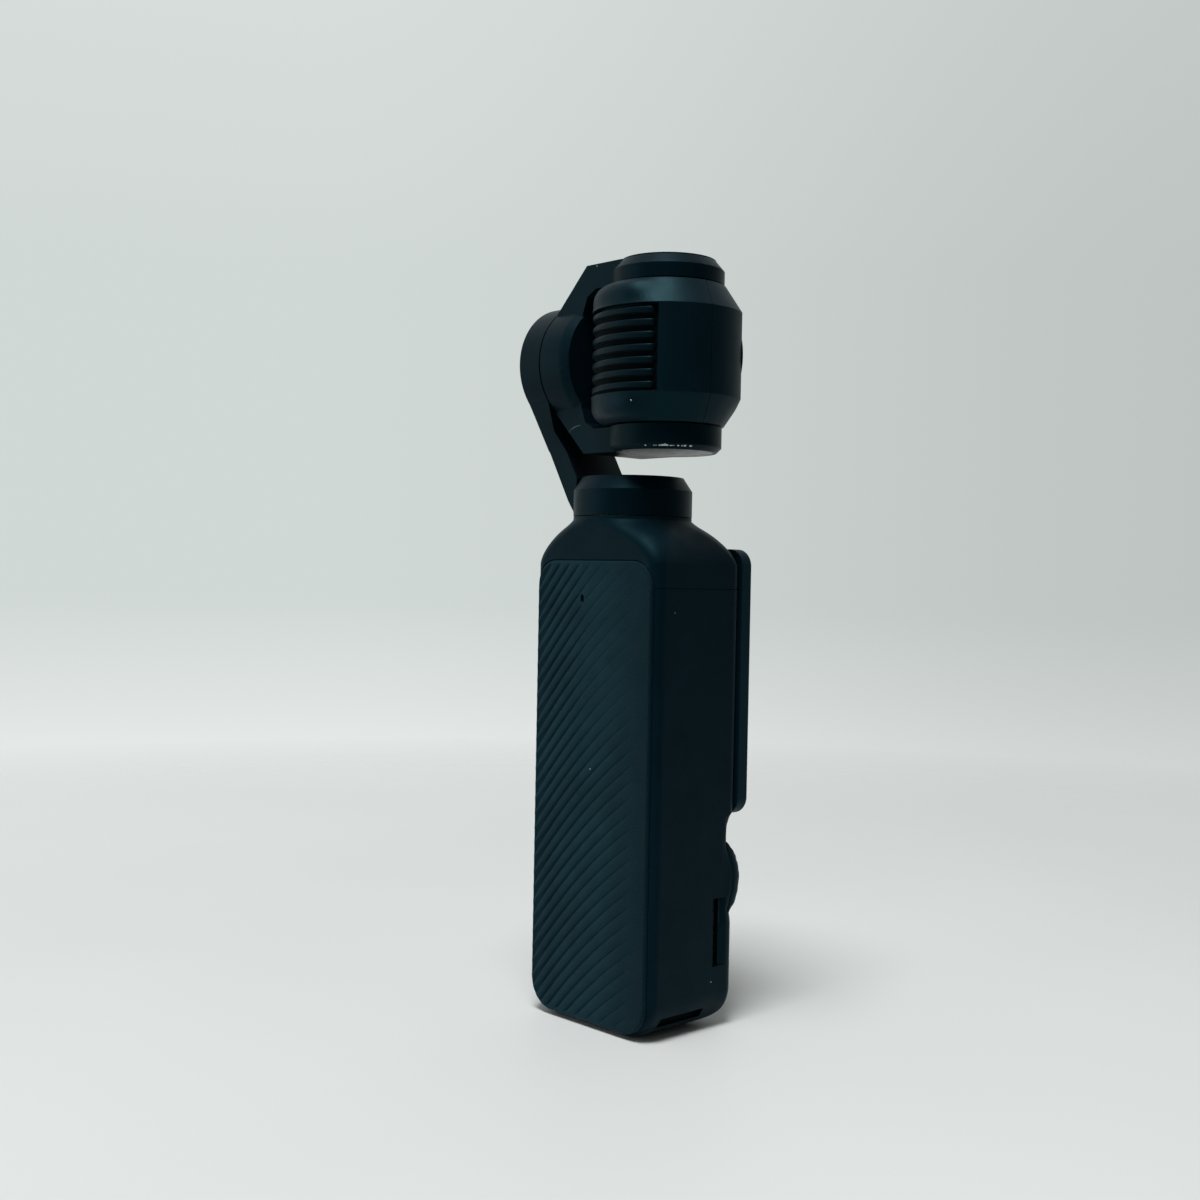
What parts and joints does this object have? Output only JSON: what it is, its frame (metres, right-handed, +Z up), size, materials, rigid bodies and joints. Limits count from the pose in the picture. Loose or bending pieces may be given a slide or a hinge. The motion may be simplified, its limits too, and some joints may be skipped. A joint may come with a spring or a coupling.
{
  "type": "gimbal camera",
  "caption": "Pocket camera on a three axis gimbal over a slim handle with a turning touch screen, a joystick and a record button.",
  "frame": {"origin": "on the base plane, on the pan axis", "axes": "+Z up along the pan axis, the screen faces -Y, the grip panel faces +Y, the card slot is on the -X side"},
  "size_m": [0.0419, 0.0295, 0.1397],
  "materials": {
    "casing": "matte moulded plastic, near black with a blue tint",
    "grip": "fine grained slate plastic with moulded diagonal ribs",
    "cell_foil": "laminated foil pouch",
    "circuit_board": "solder mask",
    "copper": "rolled copper",
    "screw_steel": "plated steel",
    "inner_plastic": "black moulded plastic",
    "light_guide": "clear plastic",
    "windings": "enamelled copper on a steel core",
    "bearing_steel": "ground steel",
    "magnet": "nickel plated magnet",
    "screen_casing": "satin black plastic",
    "display": "dark display, switched off",
    "cover_glass": "dark polished cover glass",
    "control_rubber": "soft matte knob",
    "button_plastic": "satin button",
    "button_mark": "red inlay",
    "gimbal_alloy": "matte dark coating on a light alloy casting",
    "bare_alloy": "satin bare alloy, turned",
    "camera_casing": "matte dark coating on a light alloy casting",
    "fin_alloy": "matte dark coating",
    "lens_black": "black, anti reflection",
    "lens_coating": "coated front lens"
  },
  "bodies": {
    "handle": {"handle_shell": "casing", "shoulder_cover": "casing", "grip_panel": "grip", "battery": "cell_foil", "main_board": "circuit_board", "heat_spreader": "copper", "board_screws": "screw_steel", "usb_c_socket": "screw_steel", "usb_board": "circuit_board", "card_reader": "screw_steel", "speaker": "inner_plastic", "microphones": "inner_plastic", "status_light_guide": "light_guide", "record_switch": "inner_plastic", "joystick_base": "inner_plastic", "pan_motor_stator": "windings", "pan_bearing": "bearing_steel", "screen_pivot_ring": "inner_plastic"},
    "screen": {"screen_frame": "screen_casing", "display_panel": "display", "screen_glass": "cover_glass", "screen_hub": "bearing_steel"},
    "joystick_plunger": {"joystick_plunger": "inner_plastic"},
    "joystick_ring": {"joystick_ring": "inner_plastic"},
    "joystick": {"joystick_cap": "control_rubber"},
    "record_button": {"record_button": "button_plastic", "record_button_mark": "button_mark"},
    "pan_head": {"pan_arm": "gimbal_alloy", "pan_cap": "gimbal_alloy", "pan_magnet_ring": "magnet", "pan_shaft": "bearing_steel", "roll_motor_stator": "windings", "roll_bearing": "bearing_steel", "roll_encoder_board": "circuit_board", "roll_motor_cap": "gimbal_alloy"},
    "roll_head": {"yoke": "gimbal_alloy", "roll_magnet_ring": "magnet", "roll_shaft": "bearing_steel", "tilt_motor_stator": "windings", "upper_tilt_cap": "gimbal_alloy", "tilt_bearings": "bearing_steel", "tilt_encoder_board": "circuit_board", "lower_tilt_cap": "bare_alloy"},
    "camera": {"camera_rear_shell": "camera_casing", "camera_front_shell": "camera_casing", "heat_sink": "fin_alloy", "lens_ring": "lens_black", "lens_glass": "lens_coating", "lens_barrel": "lens_black", "sensor_board": "circuit_board", "upper_tilt_shaft": "bearing_steel", "lower_tilt_shaft": "bearing_steel", "tilt_magnet_ring": "magnet"}
  },
  "joints": [
    {"name": "pan", "type": "hinge", "parent": "handle", "child": "pan_head", "pos_m": [0, 0, 0.0934], "axis": [0, 0, 1], "range_deg": [-153, 150]},
    {"name": "roll", "type": "hinge", "parent": "pan_head", "child": "roll_head", "pos_m": [0.0138, 0, 0.12234], "axis": [1, 0, 0], "range_deg": [-130, 153]},
    {"name": "tilt", "type": "hinge", "parent": "roll_head", "child": "camera", "pos_m": [-0.00815, 0, 0.12234], "axis": [0, 0, 1], "range_deg": [-118, 160]},
    {"name": "screen_turn", "type": "hinge", "parent": "handle", "child": "screen", "pos_m": [0, -0.01275, 0.0632], "axis": [0, 1, 0], "range_deg": [0, 90]},
    {"name": "record_press", "type": "slide", "parent": "handle", "child": "record_button", "axis": [0, 1, 0], "range_m": [0, 0.0004], "stiffness_N_per_m": 2500},
    {"name": "joystick_press", "type": "slide", "parent": "handle", "child": "joystick_plunger", "axis": [0, 1, 0], "range_m": [0, 0.0003], "stiffness_N_per_m": 5000},
    {"name": "joystick_up_down", "type": "hinge", "parent": "joystick_plunger", "child": "joystick_ring", "pos_m": [-0.0068, -0.0102, 0.0273], "axis": [1, 0, 0], "range_deg": [-8, 8], "stiffness_Nm_per_rad": 0.02},
    {"name": "joystick_side", "type": "hinge", "parent": "joystick_ring", "child": "joystick", "pos_m": [-0.0068, -0.0102, 0.0273], "axis": [0, 0, 1], "range_deg": [-8, 8], "stiffness_Nm_per_rad": 0.02}
  ]
}
